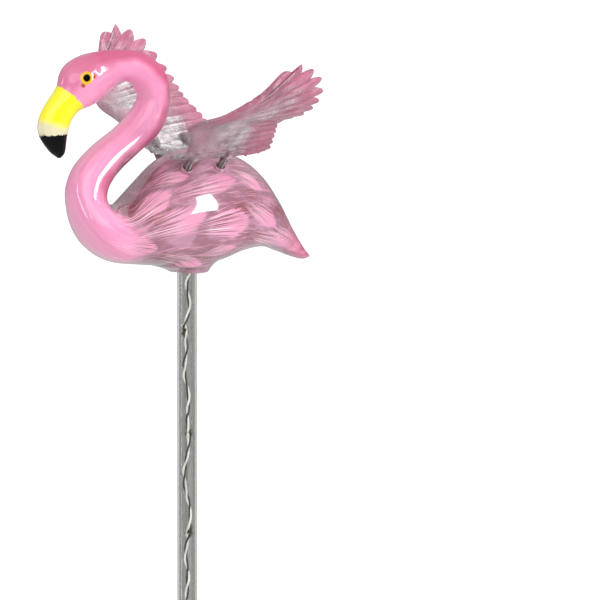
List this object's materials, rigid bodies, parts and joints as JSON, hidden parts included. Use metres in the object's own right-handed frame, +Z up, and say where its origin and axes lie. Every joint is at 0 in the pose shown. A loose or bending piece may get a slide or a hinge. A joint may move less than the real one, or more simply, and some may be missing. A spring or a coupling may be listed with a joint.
{
  "type": "solar flamingo garden light",
  "caption": "Translucent pink flamingo with sprung clear wings on a clear stake tube with a light string, over a small solar case at ground level.",
  "frame": {"origin": "centre of the foot's flat underside, on the tube's axis at ground level", "axes": "+Z up along the tube, -X the way the bird faces, -Y its left side"},
  "size_m": [0.1512, 0.2078, 0.4992],
  "materials": {
    "pink_plastic": "glossy translucent pink, hand painted",
    "wing_plastic": "clear moulded plastic tinted pink towards the tips",
    "spring_steel": "dark bright-drawn steel coil",
    "clear_tube": "clear plastic tube",
    "light_wire": "silvery enamelled wire",
    "case_plastic": "black moulded plastic",
    "solar_cell": "dark blue cell under clear resin"
  },
  "bodies": {
    "root": {"flamingo_body": "pink_plastic", "wing_left": "wing_plastic", "wing_right": "wing_plastic", "spring_left_front": "spring_steel", "spring_left_rear": "spring_steel", "spring_right_front": "spring_steel", "spring_right_rear": "spring_steel", "stake_tube": "clear_tube", "light_string": "light_wire", "battery_case": "case_plastic", "solar_panel": "solar_cell"}
  },
  "joints": []
}
